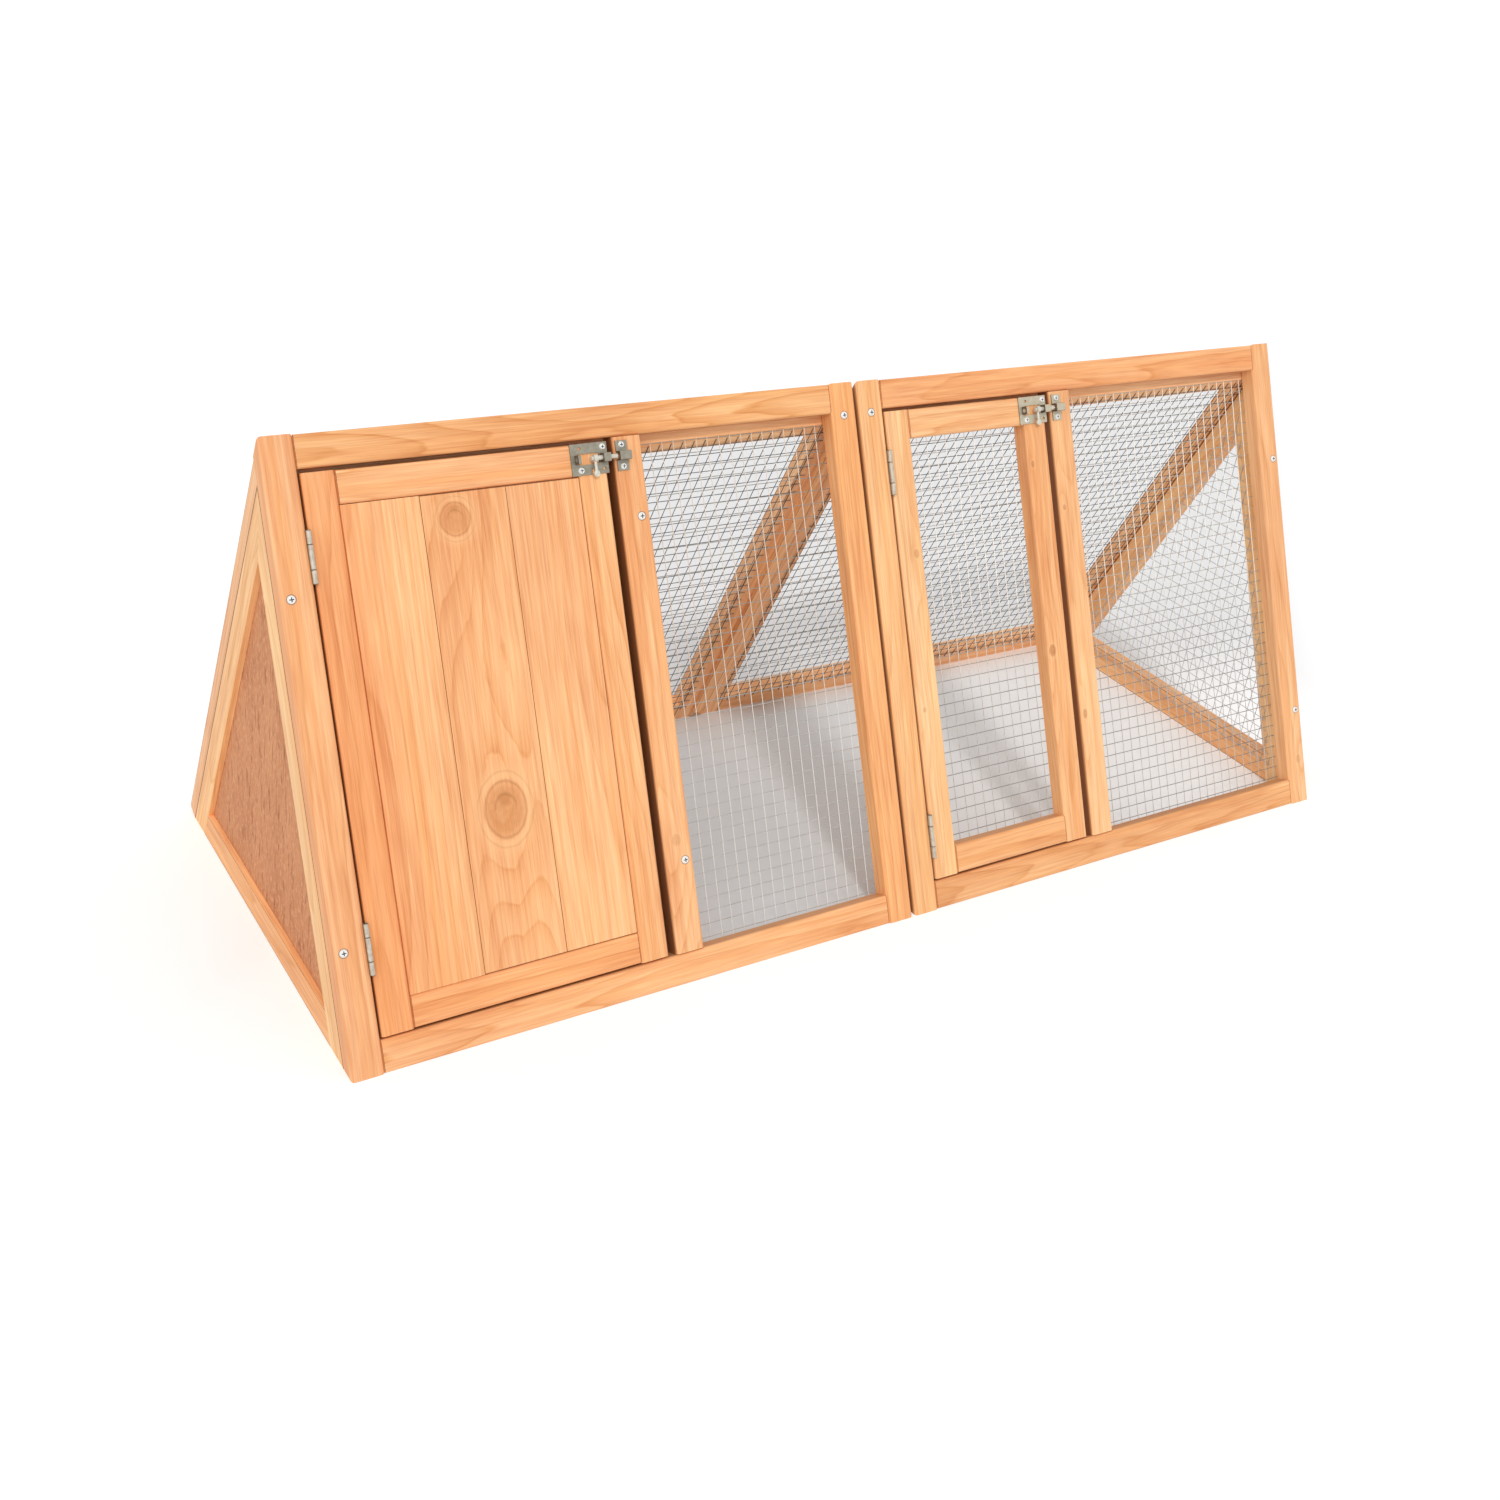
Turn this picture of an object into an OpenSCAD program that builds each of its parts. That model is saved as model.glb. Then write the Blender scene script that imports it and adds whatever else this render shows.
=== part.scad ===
// A-frame rabbit hutch: two sloping front panels and two sloping back panels
// screwed to a boarded end, a divider and a wire end. X runs along the length
// with the house end at -X, the doors face -Y and +Z is up. The origin lies
// on the floor under the middle of the hutch.
// Each sloping panel is drawn flat first: x along the hutch from the house
// end, y up the slope from the floor edge, z out of the outer face.

/* [Overall] */
// Width at the floor between the outer faces of front and back panels
base_w = 469; // [400:1:600]
// Slope of the sides above the floor, degrees
slope = 65; // [58:0.5:68]
// Length of the house half
house_len = 608; // [540:1:720]
// Length of the run half
run_len = 608; // [560:1:800]
// Gap between the two front panels
joint_gap = 4; // [2:0.5:8]

/* [Timber] */
// Width of stiles, rails and legs
strip_w = 30; // [26:0.5:36]
// Thickness of stiles, rails and legs
strip_t = 18; // [15:0.5:22]
// Radius of the front long edges of each strip
strip_round = 3; // [1:0.5:4]
// Thickness of the tongued boards
board_t = 12; // [9:0.5:14]
// Thickness of the plywood
ply_t = 4; // [3:0.5:6]
// Depth of the plywood behind the outer face of its legs
ply_inset = 6; // [4:0.5:8]
// Depth of the groove that holds the plywood
groove_d = 6; // [4:0.5:9]

/* [Doors] */
// Width of the boarded door
solid_door_w = 287.5; // [240:0.5:320]
// Width of the mesh door
mesh_door_w = 214.5; // [180:0.5:260]
// Gap at the hinge side of a door
hinge_gap = 2; // [1.8:0.1:3]
// Gap at the latch side of a door
latch_gap = 9; // [6:0.5:14]
// Gap above a door
gap_above = 3.5; // [2:0.5:5]
// Gap below a door
gap_below = 2; // [1.5:0.5:5]
// Width of the board next to the hinge stile
board_left_w = 71; // [50:1:90]
// Width of the middle board
board_mid_w = 82; // [60:1:95]

/* [Mesh] */
// Spacing of the drawn wires
net_pitch = 32; // [28:0.5:40]
// Width and thickness of a wire
wire_d = 1.2; // [0.8:0.1:2]
// Hold of the net on the frame around it
net_lap = 10; // [6:0.5:14]

/* [Hinges] */
// Length of a butt hinge
hinge_len = 46; // [40:1:60]
// Outer radius of the hinge knuckles
knuckle_r = 2.2; // [2:0.1:2.8]
// Radius of the hinge pins
pin_r = 1; // [0.8:0.05:1.2]
// Thickness of a hinge leaf
leaf_t = 0.8; // [0.5:0.05:0.85]
// Middle of the upper hinge below the top of the boarded door
solid_hinge_top = 70.5; // [50:0.5:110]
// Middle of the lower hinge above the bottom of the boarded door
solid_hinge_low = 79.5; // [50:0.5:110]
// Middle of the upper hinge below the top of the mesh door
mesh_hinge_top = 62; // [45:0.5:110]
// Middle of the lower hinge above the bottom of the mesh door
mesh_hinge_low = 46.5; // [38:0.5:110]

/* [Latches] */
// Length of the latch plate along the hutch
plate_l = 38; // [36:0.5:44]
// Height of the latch plate
plate_h = 29; // [26:0.5:30]
// Sheet thickness of plate and keep
sheet_t = 1; // [0.8:0.1:1.4]
// Radius of the latch bolt
bolt_r = 2.2; // [2:0.1:2.5]
// Travel of the bolt from rest into its keep
bolt_in = 5; // [3:0.5:5]
// Length of the handle below the bolt
handle_len = 17; // [12:0.5:22]
// Length of the keep along the hutch
keep_l = 12; // [10:0.5:15]
// Distance of the keep screws from the bolt
keep_screw_v = 10; // [9.5:0.5:13]

/* [Screws] */
// Radius of the frame screw heads
head_r = 3.8; // [3:0.1:4.5]
// Height of the screw heads above the wood
head_h = 1.2; // [0.8:0.1:2]
// Radius of the frame screw shanks
shank_r = 1.7; // [1.4:0.1:2]
// Length of the frame screws under the head
screw_len = 29; // [26:0.5:34]
// Length of the latch screws under the head
small_screw_len = 10; // [8:0.5:14]
// Lower end screw above the floor edge, along the slope
end_screw_low = 113; // [90:1:160]
// Upper end screw below the ridge edge, along the slope
end_screw_top = 137; // [110:1:200]
// Lower divider screw above the floor edge, along the slope
divider_screw_low = 119; // [90:0.5:160]
// Upper divider screw below the ridge edge, along the slope
divider_screw_top = 106; // [90:1:200]

/* [Doorway] */
// Width of the doorway in the divider
doorway_w = 150; // [120:1:190]
// Height of the doorway in the divider
doorway_h = 210; // [170:1:240]

/* [Hidden] */
fir = [0.95, 0.74, 0.50];
fir_light = [0.97, 0.78, 0.54];
ply_brown = [0.80, 0.57, 0.43];
zinc = [0.74, 0.74, 0.70];
wire_grey = [0.66, 0.68, 0.68];
bead = 0.1;
far = 400;

// Derived sizes of the whole frame
total_len = house_len + joint_gap + run_len;
half_w = base_w / 2;
ridge_z = half_w * tan(slope);
slope_len = half_w / cos(slope);
back_foot = strip_t / tan(slope);
mid_y = strip_t * cos(slope) * cos(slope) / sin(slope) / 2;
back_top = slope_len - strip_t / sin(2 * slope);
inner_apex = ridge_z - strip_t / cos(slope);
inner_half = inner_apex / tan(slope);
meeting_v = (half_w - strip_t * sin(slope)) / cos(slope);
opening_apex = inner_apex - strip_w / cos(slope);

// Places along the hutch, from the house end
solid_l = strip_w + hinge_gap;
solid_r = solid_l + solid_door_w;
house_mid = solid_r + latch_gap;
run_0 = house_len + joint_gap;
mesh_l = run_0 + strip_w + hinge_gap;
mesh_r = mesh_l + mesh_door_w;
run_mid = mesh_r + latch_gap;
divider_u = house_mid + strip_w - strip_t;
door_low = strip_w + gap_below;
door_top = slope_len - strip_w - gap_above;
latch_v = door_top - plate_h / 2;
net_top = meeting_v - 4;
house_net_l = house_mid + strip_w + wire_d / 2;
back_net_low = back_foot + strip_w - net_lap;
strip_lap_w = 15;
strip_lap_t = 6;

// Hinge and latch details
axis_out = knuckle_r + 0.2;
leaf_in = 15;
knuckle_end = 12;
knuckle_gap = 0.3;
pin_clear = 0.1;
eye_r = bolt_r + 1.3;
eye_w = 4;
eye_clear = 0.1;
bolt_out = sheet_t + eye_r + 0.1;
bridge_half = bolt_r + 2;
bridge_round = 1.5;
bolt_clear = 0.1;
keep_room = bolt_r + 1;
guide_l = 7.5;
tail_guide_l = 3;
plate_over = 1.5;
plate_hole_left = 9.5;
plate_hole_right = 4.5;
plate_hole_y = 4.5;
keep_off = 11;
keep_end = 4;
tip_gap = 0.5;
bolt_tail = 18;
handle_off = guide_l - plate_over + bolt_in + eye_w / 2 + 0.5;
handle_r = 1.5;
tab_r = 3;
tab_t = 2;
window_h = 10;
small_head_r = 3;
small_shank_r = 1.4;
hole_clear = 0.1;
groove_clear = 0.15;
tongue_d = 4;
tongue_t = 3.6;
seam = 0.2;

// Stands the flat drawing of a front panel up on its slope
module front_frame() {
    translate([-total_len / 2, mid_y - half_w, 0])
        rotate([slope, 0, 0])
            children();
}

// Stands the flat drawing of a back panel up on its slope
module back_frame() {
    translate([0, 2 * mid_y, 0])
        mirror([0, 1, 0])
            front_frame()
                children();
}

// Turns a flat outline in y and z into a plate of thickness t from x0
module cross_plate(x0, t) {
    translate([x0, mid_y, 0])
        rotate([90, 0, 90])
            linear_extrude(t)
                children();
}

// Everything below the floor
module under_floor() {
    translate([-total_len, -base_w, -far])
        cube([2 * total_len, 2 * base_w, far]);
}

// Everything outside the outer face of the back panels
module beyond_back() {
    back_frame()
        translate([-far, -far, 0])
            cube([total_len + 2 * far, slope_len + 2 * far, far]);
}

// Everything outside the inner face of the front panels
module beyond_front() {
    front_frame()
        translate([-far, -far, -strip_t])
            cube([total_len + 2 * far, slope_len + 2 * far, far]);
}

// Points of a quarter round in steps, used on strip edges
function round_pts(cx, cy, r, a0) =
    [for (i = [0 : 3]) [cx + r * cos(a0 + 30 * i), cy + r * sin(a0 + 30 * i)]];

// A strip of timber that runs along y with its two outer long edges rounded
module strip(len, w = strip_w, t = strip_t, r = strip_round) {
    rotate([-90, 0, 0])
        linear_extrude(len)
            polygon(concat(
                round_pts(r, r, r, 180),
                round_pts(w - r, r, r, 270),
                [[w, t], [0, t]]
            ));
}

// A strip that stands up the slope, with its left edge at u
module upright(u, v0, v1) {
    translate([u, v0, 0])
        strip(v1 - v0);
}

// A strip that lies along the hutch, with its lower edge at v
module crosswise(u0, u1, v) {
    translate([u0, v + strip_w, 0])
        rotate([0, 0, -90])
            strip(u1 - u0);
}

// A square net in a field of w by h, with its corner at the origin
module net(w, h) {
    nx = max(1, round((w - wire_d) / net_pitch));
    ny = max(1, round((h - wire_d) / net_pitch));
    px = (w - wire_d) / nx;
    py = (h - wire_d) / ny;
    linear_extrude(wire_d)
        difference() {
            square([w, h]);
            for (i = [0 : nx - 1], j = [0 : ny - 1])
                translate([wire_d + i * px, wire_d + j * py])
                    square([px - wire_d, py - wire_d]);
        }
}

// A net behind the field from u0 to u1 and v0 to v1, on the inner face
module panel_net(u0, u1, v0, v1) {
    color(wire_grey)
        translate([u0, v0, -strip_t - wire_d])
            net(u1 - u0, v1 - v0);
}

// Shank of a frame screw with room around it, seen as a hole
module screw_hole(u, v, r = shank_r, len = screw_len) {
    translate([u, v, -len - hole_clear])
        cylinder(h = len + hole_clear + strip_t, r = r + hole_clear, $fn = 24);
}

// A cross-head screw with its shank in the wood, head at height z
module screw(u, v, hr, sr, len, z = 0) {
    slot_w = hr / 4;
    slot_l = hr * 1.1;
    translate([u, v, z])
        difference() {
            union() {
                cylinder(h = head_h, r1 = hr, r2 = hr * 0.8, $fn = 32);
                translate([0, 0, -len])
                    cylinder(h = len, r = sr, $fn = 24);
            }
            for (a = [0, 90])
                rotate([0, 0, a])
                    translate([-slot_l / 2, -slot_w / 2, head_h / 2])
                        cube([slot_l, slot_w, head_h]);
        }
}

// Places of the screws through the front and back faces
end_us = [strip_t / 2, total_len - strip_t / 2];
end_vs = [end_screw_low, slope_len - end_screw_top];
divider_us = [divider_u + strip_t / 2];
divider_vs = [divider_screw_low, slope_len - divider_screw_top];
ridge_us = [house_len - strip_w / 2, run_0 + strip_w / 2];
ridge_v = meeting_v + strip_t / 3;

module face_holes() {
    for (u = end_us, v = end_vs)
        screw_hole(u, v);
    for (u = divider_us, v = divider_vs)
        screw_hole(u, v);
}

module ridge_holes() {
    for (u = ridge_us)
        screw_hole(u, ridge_v);
}

module keep_holes() {
    for (u = [solid_r, mesh_r], s = [-1, 1])
        screw_hole(u + keep_off + keep_l / 2, latch_v + s * keep_screw_v, small_shank_r, small_screw_len);
}

// Front panel pieces: cut level at the floor and flush with the back slope
module front_upright(u, v0, v1) {
    color(fir)
        difference() {
            front_frame()
                difference() {
                    upright(u, v0, v1);
                    face_holes();
                    ridge_holes();
                    keep_holes();
                }
            under_floor();
            beyond_back();
        }
}

module front_crosswise(u0, u1, v) {
    color(fir_light)
        difference() {
            front_frame()
                crosswise(u0, u1, v);
            under_floor();
            beyond_back();
        }
}

module house_front_stile_left() front_upright(0, 0, slope_len);
module house_front_stile_mid() front_upright(house_mid, strip_w, slope_len - strip_w);
module house_front_stile_right() front_upright(house_len - strip_w, 0, slope_len);
module house_front_rail_top()
    front_crosswise(strip_w, house_len - strip_w, slope_len - strip_w);
module house_front_rail_bottom() front_crosswise(strip_w, house_len - strip_w, 0);
module house_front_mesh()
    front_frame()
        panel_net(house_net_l, house_len - strip_w + net_lap, strip_w - net_lap, net_top);

module run_front_stile_left() front_upright(run_0, 0, slope_len);
module run_front_stile_mid() front_upright(run_mid, strip_w, slope_len - strip_w);
module run_front_stile_right() front_upright(total_len - strip_w, 0, slope_len);
module run_front_rail_top()
    front_crosswise(run_0 + strip_w, total_len - strip_w, slope_len - strip_w);
module run_front_rail_bottom() front_crosswise(run_0 + strip_w, total_len - strip_w, 0);
module run_front_mesh()
    front_frame()
        panel_net(run_mid + strip_w - net_lap, total_len - strip_w + net_lap, strip_w - net_lap, net_top);

// Back panel pieces: square feet, tops cut to butt against the front panels
module back_upright(u, v0, v1) {
    color(fir)
        difference() {
            back_frame()
                difference() {
                    upright(u, v0, v1);
                    face_holes();
                }
            beyond_front();
            front_frame()
                ridge_holes();
        }
}

module back_crosswise(u0, u1, v) {
    color(fir_light)
        difference() {
            back_frame()
                crosswise(u0, u1, v);
            beyond_front();
        }
}

back_rail_v = back_top - strip_w;

module house_back_stile_left() back_upright(0, back_foot, back_top);
module house_back_stile_mid() back_upright(house_mid, back_foot + strip_w, back_rail_v);
module house_back_stile_right() back_upright(house_len - strip_w, back_foot, back_top);
module house_back_rail_top() back_crosswise(strip_w, house_len - strip_w, back_rail_v);
module house_back_rail_bottom() back_crosswise(strip_w, house_len - strip_w, back_foot);
module house_back_mesh()
    back_frame()
        panel_net(house_net_l, house_len - strip_w + net_lap, back_net_low, net_top);

module run_back_stile_left() back_upright(run_0, back_foot, back_top);
module run_back_stile_right() back_upright(total_len - strip_w, back_foot, back_top);
module run_back_rail_top() back_crosswise(run_0 + strip_w, total_len - strip_w, back_rail_v);
module run_back_rail_bottom() back_crosswise(run_0 + strip_w, total_len - strip_w, back_foot);
module run_back_mesh()
    back_frame()
        panel_net(run_0 + strip_w - net_lap, total_len - strip_w + net_lap, back_net_low, net_top);

// A board along y with a tongue on its right edge and a groove on its left
module board(w, len, has_groove, has_tongue) {
    mid = board_t / 2;
    rotate([-90, 0, 0])
        linear_extrude(len)
            difference() {
                union() {
                    square([w, board_t]);
                    if (has_tongue)
                        translate([w - 1, mid - tongue_t / 2])
                            square([tongue_d + 1, tongue_t]);
                }
                if (has_groove)
                    translate([-1, mid - tongue_t / 2 - bead])
                        square([tongue_d + 1 + 2 * bead, tongue_t + 2 * bead]);
            }
}

// Four boards that close the back of the house
module house_back_boards() {
    count = 4;
    w = (house_mid - strip_w) / count;
    color(fir_light)
        back_frame()
            for (i = [0 : count - 1])
                translate([strip_w + i * w, back_foot + strip_w, 0])
                    board(i < count - 1 ? w - seam : w, back_rail_v - back_foot - strip_w,
                        i > 0, i < count - 1);
}

// Narrow cover strip nailed inside over the joint of the back panels
module back_joint_strip() {
    u = run_0 + 2 - strip_lap_w;
    color(fir_light)
        back_frame()
            translate([u, back_foot + strip_w / 2, -strip_t - strip_lap_t])
                cube([strip_lap_w, meeting_v - back_foot - strip_w, strip_lap_t]);
}

// Outline of one leg of a triangle frame, on the -y side
module leg_outline() {
    polygon([
        [-inner_half, 0],
        [-inner_half + strip_w / sin(slope), 0],
        [0, opening_apex],
        [0, inner_apex]
    ]);
}

// Outline of the rail between two legs
module end_rail_outline() {
    y0 = inner_half - strip_w / sin(slope);
    y1 = y0 - strip_w / tan(slope);
    polygon([[-y0, 0], [y0, 0], [y1, strip_w], [-y1, strip_w]]);
}

// Outline of the sheet held d deep in the grooves, with its foot at z0
module sheet_outline(d, z0) {
    apex = opening_apex + d / cos(slope);
    half = (apex - z0) / tan(slope);
    polygon([[-half, z0], [half, z0], [0, apex]]);
}

module groove(x0, z0) {
    cross_plate(x0 + ply_inset - groove_clear, ply_t + 2 * groove_clear)
        sheet_outline(groove_d + groove_clear, z0);
}

// One leg with its screw holes, grooved where it holds plywood
module leg(x0, side, grooved, z0 = strip_w) {
    color(fir)
        difference() {
            cross_plate(x0, strip_t)
                mirror([side > 0 ? 1 : 0, 0])
                    leg_outline();
            if (grooved)
                groove(x0, z0 - groove_d - groove_clear);
            if (side < 0)
                front_frame()
                    face_holes();
            else
                back_frame()
                    face_holes();
        }
}

house_end_x = -total_len / 2;
run_end_x = total_len / 2 - strip_t;
divider_x = divider_u - total_len / 2;
divider_foot = 4;

module house_end_leg_front() leg(house_end_x, -1, true);
module house_end_leg_back() leg(house_end_x, 1, true);
module house_end_rail()
    color(fir_light)
        difference() {
            cross_plate(house_end_x, strip_t)
                end_rail_outline();
            groove(house_end_x, strip_w - groove_d - groove_clear);
        }
module house_end_panel()
    color(ply_brown)
        cross_plate(house_end_x + ply_inset, ply_t)
            sheet_outline(groove_d, strip_w - groove_d);

module divider_leg_front() leg(divider_x, -1, true, divider_foot + groove_d);
module divider_leg_back() leg(divider_x, 1, true, divider_foot + groove_d);

// Plywood between house and run with an arched doorway
module divider_panel() {
    arch_r = doorway_w / 2;
    color(ply_brown)
        cross_plate(divider_x + ply_inset, ply_t)
            difference() {
                sheet_outline(groove_d, divider_foot);
                translate([-arch_r, -1])
                    square([doorway_w, doorway_h - arch_r + 1]);
                translate([0, doorway_h - arch_r])
                    circle(r = arch_r, $fn = 64);
            }
}

module run_end_leg_front() leg(run_end_x, -1, false);
module run_end_leg_back() leg(run_end_x, 1, false);
module run_end_rail()
    color(fir_light)
        cross_plate(run_end_x, strip_t)
            end_rail_outline();

// Triangular net nailed inside the wire end, with a twisted rim
module run_end_mesh() {
    z0 = strip_w - net_lap;
    apex = opening_apex + net_lap / cos(slope);
    half = (apex - z0) / tan(slope);
    rim = 2 * wire_d;
    color(wire_grey)
        cross_plate(run_end_x - wire_d, wire_d)
            union() {
                difference() {
                    sheet_outline(net_lap, z0);
                    sheet_outline(net_lap - rim, z0 + rim);
                }
                intersection() {
                    sheet_outline(net_lap, z0);
                    union() {
                        for (i = [-floor(half / net_pitch) : floor(half / net_pitch)])
                            translate([i * net_pitch - wire_d / 2, z0])
                                square([wire_d, apex - z0]);
                        for (j = [1 : floor((apex - z0) / net_pitch)])
                            translate([-half, z0 + j * net_pitch - wire_d / 2])
                                square([2 * half, wire_d]);
                    }
                }
            }
}

// Boarded door: two stiles, two rails and three boards in one plane
module door_upright(u) {
    color(fir)
        front_frame()
            upright(u, door_low, door_top);
}

module door_crosswise(u0, u1, v) {
    color(fir_light)
        front_frame()
            crosswise(u0, u1, v);
}

module solid_door_stile_left() door_upright(solid_l);
module solid_door_stile_right() door_upright(solid_r - strip_w);
module solid_door_rail_top()
    door_crosswise(solid_l + strip_w, solid_r - strip_w, door_top - strip_w);
module solid_door_rail_bottom()
    door_crosswise(solid_l + strip_w, solid_r - strip_w, door_low);

board_u0 = solid_l + strip_w;
board_u1 = board_u0 + board_left_w;
board_u2 = board_u1 + board_mid_w;
board_u3 = solid_r - strip_w;

module door_board(u0, u1, has_groove, has_tongue) {
    color(fir_light)
        front_frame()
            translate([u0, door_low + strip_w, 0])
                board(u1 - u0, door_top - door_low - 2 * strip_w, has_groove, has_tongue);
}

module solid_door_board_left() door_board(board_u0, board_u1, false, true);
module solid_door_board_mid() door_board(board_u1, board_u2, true, true);
module solid_door_board_right() door_board(board_u2, board_u3, true, false);

module mesh_door_stile_left() door_upright(mesh_l);
module mesh_door_stile_right() door_upright(mesh_r - strip_w);
module mesh_door_rail_top()
    door_crosswise(mesh_l + strip_w, mesh_r - strip_w, door_top - strip_w);
module mesh_door_rail_bottom()
    door_crosswise(mesh_l + strip_w, mesh_r - strip_w, door_low);
module mesh_door_mesh()
    front_frame()
        panel_net(mesh_l + strip_w - net_lap, mesh_r - strip_w + net_lap,
            door_low + strip_w - net_lap, door_top - strip_w + net_lap);

// Frame leaf of one butt hinge with its two knuckles and the pin
module frame_leaf(u, v) {
    translate([u, v - hinge_len / 2, 0]) {
        translate([0, 0, -leaf_in])
            cube([leaf_t, hinge_len, leaf_in - knuckle_gap]);
        for (y0 = [0, hinge_len - knuckle_end]) {
            translate([0, y0, -1])
                cube([leaf_t, knuckle_end, axis_out + 1]);
            translate([hinge_gap / 2, y0, axis_out])
                rotate([-90, 0, 0])
                    cylinder(h = knuckle_end, r = knuckle_r, $fn = 32);
        }
        translate([hinge_gap / 2, 0, axis_out])
            rotate([-90, 0, 0])
                cylinder(h = hinge_len, r = pin_r, $fn = 24);
    }
}

// Door leaf of one butt hinge with its bored middle knuckle
module door_leaf(u, v) {
    y0 = knuckle_end + knuckle_gap;
    len = hinge_len - 2 * y0;
    translate([u, v - hinge_len / 2, 0])
        difference() {
            union() {
                translate([hinge_gap - leaf_t, 0, -leaf_in])
                    cube([leaf_t, hinge_len, leaf_in - knuckle_gap]);
                translate([hinge_gap - leaf_t, y0, -1])
                    cube([leaf_t, len, axis_out + 1]);
                translate([hinge_gap / 2, y0, axis_out])
                    rotate([-90, 0, 0])
                        cylinder(h = len, r = knuckle_r, $fn = 32);
            }
            translate([hinge_gap / 2, -1, axis_out])
                rotate([-90, 0, 0])
                    cylinder(h = hinge_len + 2, r = pin_r + pin_clear, $fn = 24);
        }
}

solid_hinges = [door_low + solid_hinge_low, door_top - solid_hinge_top];
mesh_hinges = [door_low + mesh_hinge_low, door_top - mesh_hinge_top];

module frame_hinge_leaves()
    color(zinc)
        front_frame() {
            for (v = solid_hinges)
                frame_leaf(solid_l - hinge_gap, v);
            for (v = mesh_hinges)
                frame_leaf(mesh_l - hinge_gap, v);
        }

module solid_door_hinge_leaves()
    color(zinc)
        front_frame()
            for (v = solid_hinges)
                door_leaf(solid_l - hinge_gap, v);

module mesh_door_hinge_leaves()
    color(zinc)
        front_frame()
            for (v = mesh_hinges)
                door_leaf(mesh_l - hinge_gap, v);

// Bridge of bent sheet over the bolt, seen along the hutch
module bridge(u, len) {
    top = bolt_out + bridge_half;
    translate([u, latch_v, 0])
        rotate([90, 0, 90])
            linear_extrude(len)
                polygon(concat(
                    [[-bridge_half, 0], [bridge_half, 0]],
                    round_pts(bridge_half - bridge_round, top - bridge_round, bridge_round, 0),
                    round_pts(bridge_round - bridge_half, top - bridge_round, bridge_round, 90)
                ));
}

// Round bore of a bridge in which the bolt slides
module bolt_bore(u, len) {
    translate([u - 1, latch_v, bolt_out])
        rotate([0, 90, 0])
            cylinder(h = len + 2, r = bolt_r + bolt_clear, $fn = 48);
}

// Stamped latch plate with window, notch for the handle and bolt sleeve
module latch_plate(u) {
    u1 = u + plate_over;
    u0 = u1 - plate_l;
    v0 = latch_v - plate_h / 2;
    window_0 = u0 + 4 + tail_guide_l;
    window_1 = u1 - guide_l - 1.5;
    color(zinc)
        front_frame()
            difference() {
                union() {
                    translate([u0, v0, 0])
                        cube([plate_l, plate_h, sheet_t]);
                    bridge(u1 - guide_l, guide_l);
                    bridge(u0 + 4, tail_guide_l);
                }
                bolt_bore(u1 - guide_l, guide_l);
                bolt_bore(u0 + 4, tail_guide_l);
                translate([window_0, latch_v - window_h / 2, -1])
                    cube([window_1 - window_0, window_h, sheet_t + 2]);
                translate([u - handle_off - 2.5, v0 - 1, -1])
                    cube([5, 6, sheet_t + 2]);
                for (x = [u0 + plate_hole_left, u1 - plate_hole_right], s = [-1, 1])
                    translate([x, latch_v + s * (plate_h / 2 - plate_hole_y), -1])
                        cylinder(h = sheet_t + 2, r = small_shank_r + hole_clear, $fn = 24);
            }
}

// Round bolt with a chamfered tip just short of the keep
module latch_bolt(u) {
    tip = u + keep_off - tip_gap;
    tail = u - bolt_tail;
    chamfer = 1;
    color(zinc)
        front_frame()
            translate([tail, latch_v, bolt_out])
                rotate([0, 90, 0]) {
                    cylinder(h = tip - tail - chamfer, r = bolt_r, $fn = 48);
                    translate([0, 0, tip - tail - chamfer])
                        cylinder(h = chamfer, r1 = bolt_r, r2 = bolt_r - chamfer, $fn = 48);
                }
}

// Handle that hangs from an eye round the bolt and ends in a flat tab
module latch_handle(u) {
    color(zinc)
        front_frame()
            translate([u - handle_off, latch_v, bolt_out])
                difference() {
                    union() {
                        translate([-eye_w / 2, 0, 0])
                            rotate([0, 90, 0])
                                cylinder(h = eye_w, r = eye_r, $fn = 48);
                        rotate([90, 0, 0])
                            cylinder(h = handle_len - tab_r, r = handle_r, $fn = 24);
                        translate([0, tab_r - handle_len, -tab_t / 2])
                            cylinder(h = tab_t, r = tab_r, $fn = 32);
                    }
                    translate([-eye_w, 0, 0])
                        rotate([0, 90, 0])
                            cylinder(h = 2 * eye_w, r = bolt_r + eye_clear, $fn = 48);
                }
}

// Keep on the middle stile: two screwed tabs and a bridge over the bolt
module keep(u) {
    u0 = u + keep_off;
    half_h = keep_screw_v + keep_end;
    difference() {
        union() {
            translate([u0, latch_v - half_h, 0])
                cube([keep_l, 2 * half_h, sheet_t]);
            bridge(u0, keep_l);
        }
        translate([u0 - 1, latch_v - keep_room, -1])
            cube([keep_l + 2, 2 * keep_room, bolt_out + keep_room + 1]);
        for (s = [-1, 1])
            translate([u0 + keep_l / 2, latch_v + s * keep_screw_v, -1])
                cylinder(h = sheet_t + 2, r = small_shank_r + hole_clear, $fn = 24);
    }
}

module latch_keeps()
    color(zinc)
        front_frame() {
            keep(solid_r);
            keep(mesh_r);
        }

module solid_door_latch_plate() latch_plate(solid_r);
module solid_door_latch_bolt() latch_bolt(solid_r);
module solid_door_latch_handle() latch_handle(solid_r);
module mesh_door_latch_plate() latch_plate(mesh_r);
module mesh_door_latch_bolt() latch_bolt(mesh_r);
module mesh_door_latch_handle() latch_handle(mesh_r);

// Screws through one pair of faces into the legs behind them
module face_screws() {
    for (u = end_us, v = end_vs)
        screw(u, v, head_r, shank_r, screw_len);
    for (u = divider_us, v = divider_vs)
        screw(u, v, head_r, shank_r, screw_len);
}

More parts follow.
